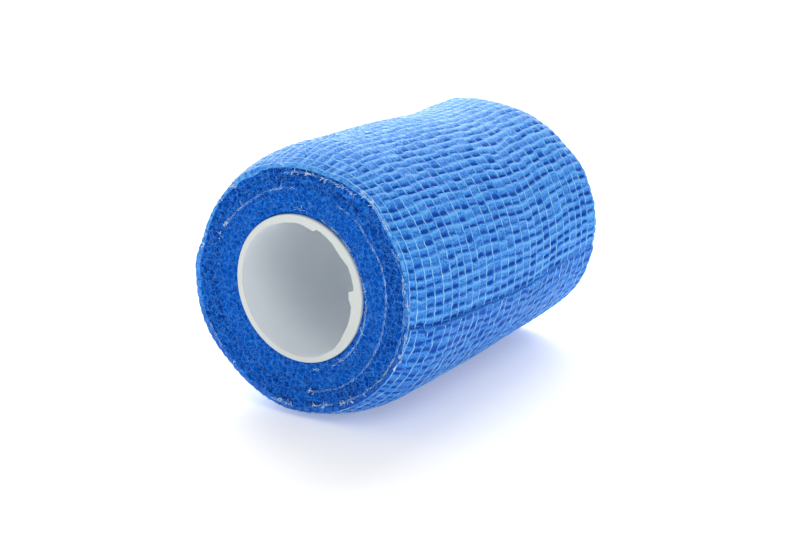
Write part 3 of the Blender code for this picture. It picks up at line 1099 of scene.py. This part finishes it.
def crepe_cloth():
    """The crepe cloth: fleecy and nearly matt, with a painted highlight on the crests and painted shade
    in the recesses.
    """
    made, shader, tree = new_material("carded_nonwoven_crepe")
    spot = node(tree, "ShaderNodeTexCoord").outputs["Object"]
    fold_shade = node(tree, "ShaderNodeAttribute", attribute_name="fold_shade").outputs["Fac"]
    fibre = node(tree, "ShaderNodeTexNoise", {
        "Vector": spot, "Scale": per_mm(CLOTH_GRAIN), "Detail": 4.0, "Roughness": 0.7,
    }).outputs["Fac"]
    mottle = node(tree, "ShaderNodeTexNoise", {
        "Vector": spot, "Scale": per_mm(CLOTH_MOTTLE), "Detail": 1.0,
    }).outputs["Fac"]
    hairs = hair_lines(tree, spot, CLOTH_HAIRS, CLOTH_HAIR_WIDTH)
    tone = lay_over(tree, colour("#0a54be"), colour("#44a4fb"), fibre, 0.42, 0.58)
    tone = lay_over(tree, tone, colour("#1e78e2"), mottle, 0.35, 0.65, 0.0, 0.3)
    tone = lay_over(tree, tone, colour("#66b8ff"), hairs, 0.0, 1.0, 0.0, 0.65)
    # Painted highlight: a pale blue laid over the crests, where fold_shade is near zero.
    tone = lay_over(tree, tone, colour("#74c2ff"), fold_shade, 0.0, 0.015, 0.6, 0.0)
    # Painted shade: the recesses are painted a deeper, darker blue by fold_shade.
    tone = lay_over(tree, tone, colour("#004cb6"), fold_shade, 0.18, 0.62, 0.0, 0.95)
    bump = node(tree, "ShaderNodeBump", {"Height": fibre, "Strength": 1.0, "Distance": CLOTH_FLEECE})
    tree.links.new(bump.outputs["Normal"], shader.inputs["Normal"])
    finish(tree, shader, tone, roughness=0.5, specular=0.13)
    return made


cloth_look = crepe_cloth()
print(cloth_look.name, "has", len(cloth_look.node_tree.nodes), "nodes")

# %% [markdown]
# ## The look of the cut edges
# The slitting blade leaves the edges of the turns as a felt of fibre ends, which swallows light: to
# the eye it is a deep blue with no shine at all, with paler fibres that curl over it. It is painted
# darker where it lies deeper, between the turns, in the pits and in the outer turns, as painted
# shade. These marks too are drawn coarser than the real ones, or they wouldn't show.

# %% The look of the cut edges
CUT_GRAIN = 0.8
CUT_HAIRS = 1.3
CUT_HAIR_WIDTH = 0.09
CUT_FLEECE = 0.3 * MM


def cut_cloth():
    """The cut edges of the turns: a dull deep blue felt with paler fibres, and painted shade where they
    lie deeper.
    """
    made, shader, tree = new_material("cut_cloth_edges")
    spot = node(tree, "ShaderNodeTexCoord").outputs["Object"]
    deep = node(tree, "ShaderNodeAttribute", attribute_name="fold_shade").outputs["Fac"]
    fibre = node(tree, "ShaderNodeTexNoise", {
        "Vector": spot, "Scale": per_mm(CUT_GRAIN), "Detail": 3.0, "Roughness": 0.6,
    }).outputs["Fac"]
    hairs = hair_lines(tree, spot, CUT_HAIRS, CUT_HAIR_WIDTH)
    tone = lay_over(tree, colour("#0646a8"), colour("#0c66d2"), fibre, 0.38, 0.64)
    # Painted shade: a darker blue where the cut edges lie deeper.
    tone = lay_over(tree, tone, colour("#023894"), deep, 0.35, 0.9, 0.0, 0.95)
    tone = lay_over(tree, tone, colour("#4896f0"), hairs, 0.0, 1.0, 0.0, 0.7)
    bump = node(tree, "ShaderNodeBump", {"Height": fibre, "Strength": 1.0, "Distance": CUT_FLEECE})
    tree.links.new(bump.outputs["Normal"], shader.inputs["Normal"])
    finish(tree, shader, tone, roughness=1.0, specular=0.0)
    return made


cut_look = cut_cloth()
print(cut_look.name, "has", len(cut_look.node_tree.nodes), "nodes")

# %% [markdown]
# ## The look of fibres and threads
# A loose polyester fibre is clear dyed plastic, drawn fine. Its tone is painted in random patches
# from the cloth's blue, as painted shade, to a pale blue, as painted light, as a fibre looks where it
# lies in shade and where it catches light.
# An elastic thread is drawn white, with a dust of latex and blue fibre on it, so it reads as a pale
# blue line that comes and goes. Where it has sprung apart it has shed that dust, and is nearly white.

# %% The look of fibres and threads
FIBRE_PATCHES = 1.0
DUST_PATCHES = 1.3


def loose_fibre():
    """Short loose fibres: matt, from the cloth's blue to a pale blue."""
    made, shader, tree = new_material("loose_polyester_fibre")
    spot = node(tree, "ShaderNodeTexCoord").outputs["Object"]
    patch = node(tree, "ShaderNodeTexNoise", {
        "Vector": spot, "Scale": per_mm(FIBRE_PATCHES), "Detail": 1.0,
    }).outputs["Fac"]
    # Painted shade and painted light: random patches from the cloth's blue to a pale blue.
    tone = node(tree, "ShaderNodeMix", {
        "Factor": patch, MIX_A: colour("#0c58c4"), MIX_B: colour("#62b0fc"),
    }, data_type="RGBA").outputs[MIX_OUT]
    finish(tree, shader, tone, roughness=0.9, specular=0.1)
    return made


def elastic(name, dull, bright):
    """A drawn elastic thread: smooth, dusted unevenly with the cloth's blue."""
    made, shader, tree = new_material(name)
    spot = node(tree, "ShaderNodeTexCoord").outputs["Object"]
    dust = node(tree, "ShaderNodeTexNoise", {
        "Vector": spot, "Scale": per_mm(DUST_PATCHES), "Detail": 2.0,
    }).outputs["Fac"]
    tone = lay_over(tree, colour(dull), colour(bright), dust, 0.35, 0.65)
    finish(tree, shader, tone, roughness=0.5, specular=0.2)
    return made


fibre_look = loose_fibre()
thread_look = elastic("drawn_elastic_thread", "#5cacf4", "#aee2ff")
end_thread_look = elastic("cut_elastic_thread", "#2a80e0", "#c4eaff")
tuft_look = elastic("frayed_elastic_filament", "#b9dcf8", "#f4faff")
print("Threads:", [look.name for look in (thread_look, end_thread_look, tuft_look)])

# %% [markdown]
# ## The look of the core
# The core is extruded polyethylene. To the eye it is a milky white with a soft broad shine and
# hardly a cloud in it. The bore is given a lighter, bluer copy of that white, as painted light with a
# blue tint that stands in for how light falls inside the tube. Its IOR and specular level keep the
# usual values of a plastic.

# %% The look of the core
PLASTIC_CLOUDS = 14


def core_plastic(name, first, second):
    """The core's plastic: milky, with a soft shine and very faint clouds."""
    made, shader, tree = new_material(name)
    spot = node(tree, "ShaderNodeTexCoord").outputs["Object"]
    cloud = node(tree, "ShaderNodeTexNoise", {
        "Vector": spot, "Scale": per_mm(PLASTIC_CLOUDS), "Detail": 2.0,
    }).outputs["Fac"]
    tone = node(tree, "ShaderNodeMix", {
        "Factor": cloud, MIX_A: colour(first), MIX_B: colour(second),
    }, data_type="RGBA").outputs[MIX_OUT]
    tree.links.new(tone, shader.inputs["Base Color"])
    shader.inputs["Roughness"].default_value = 0.55
    return made


plastic_look = core_plastic("extruded_polyethylene", "#d0d6d4", "#dadfdb")
# Painted light: the bore's copy of the plastic is lighter and bluer than the wall's.
bore_look = core_plastic("extruded_polyethylene_bore", "#dfe5ea", "#e6ebf0")
print("Core:", plastic_look.name, "and", bore_look.name)

# %% [markdown]
# ## Which piece has which look
# A face keeps the number of the look that it was given when its piece was made. The cut ends have
# the cut edges first and the crepe second, and the core has its wall first and its bore second.

# %% Which piece has which look
for piece, looks in (
    (outer_turn, [cloth_look]),
    (loose_end, [cloth_look]),
    (near_end, [cut_look, cloth_look]),
    (far_end, [cut_look, cloth_look]),
    (near_fibres, [fibre_look]),
    (far_fibres, [fibre_look]),
    (loose_hairs, [fibre_look]),
    (turn_threads, [thread_look]),
    (loose_threads, [thread_look]),
    (end_threads, [end_thread_look]),
    (tufts, [tuft_look]),
    (core, [plastic_look, bore_look]),
):
    while len(piece.data.materials):
        piece.data.materials.pop()
    for look in looks:
        piece.data.materials.append(look)
print("Materials:", [made.name for made in bpy.data.materials])

# %% [markdown]
# ## Floor and light
# The floor is a wide pale sheet of acrylic that glows a little, as a lit table does, so it looks white
# and shadows on it stay faint. An even white sky does most of the lighting. A large soft panel behind
# the roll glances along its top, which goes pale as in the photograph. A faint one stands above, and
# a small one in front and to the right reaches into the bore and lights the near side.

# %% Floor and light
FLOOR_SIZE = 8
FLOOR_GLOW = 0.28
SKY = 0.455
LAMPS = (
    # name, place in m, size in m, power in W
    ("panel_behind", (-0.70, 1.09, 0.75), 1.8, 50.0),
    ("panel_above", (0.10, 0.0, 0.90), 0.9, 0.8),
    ("panel_front", (0.48, -0.46, 0.68), 0.5, 1.9),
)
LAMPS_AIM = Vector((0, 0, 0.02))

let_go()
bpy.ops.mesh.primitive_plane_add(size=FLOOR_SIZE)
floor = bpy.context.object
floor.name = "floor"
floor_look, shader, tree = new_material("white_acrylic_lit_from_below")
shader.inputs["Base Color"].default_value = colour("#f4f4f4")
shader.inputs["Emission Color"].default_value = colour("#ffffff")
shader.inputs["Emission Strength"].default_value = FLOOR_GLOW
shader.inputs["Roughness"].default_value = 1.0
shader.inputs["Specular IOR Level"].default_value = 0.0
floor.data.materials.append(floor_look)

sky = bpy.data.worlds.new("soft_white_sky")
bpy.context.scene.world = sky
sky.use_nodes = True
background = sky.node_tree.nodes["Background"]
background.inputs["Color"].default_value = (1, 1, 1, 1)
background.inputs["Strength"].default_value = SKY
for name, spot, size, power in LAMPS:
    bpy.ops.object.light_add(type="AREA", location=spot)
    lamp = bpy.context.object
    lamp.name = name
    lamp.data.size = size
    lamp.data.energy = power
    lamp.rotation_euler = (LAMPS_AIM - lamp.location).to_track_quat("-Z", "Y").to_euler()
bpy.context.scene.view_settings.view_transform = "Standard"
print("Lamps:", [lamp[0] for lamp in LAMPS])
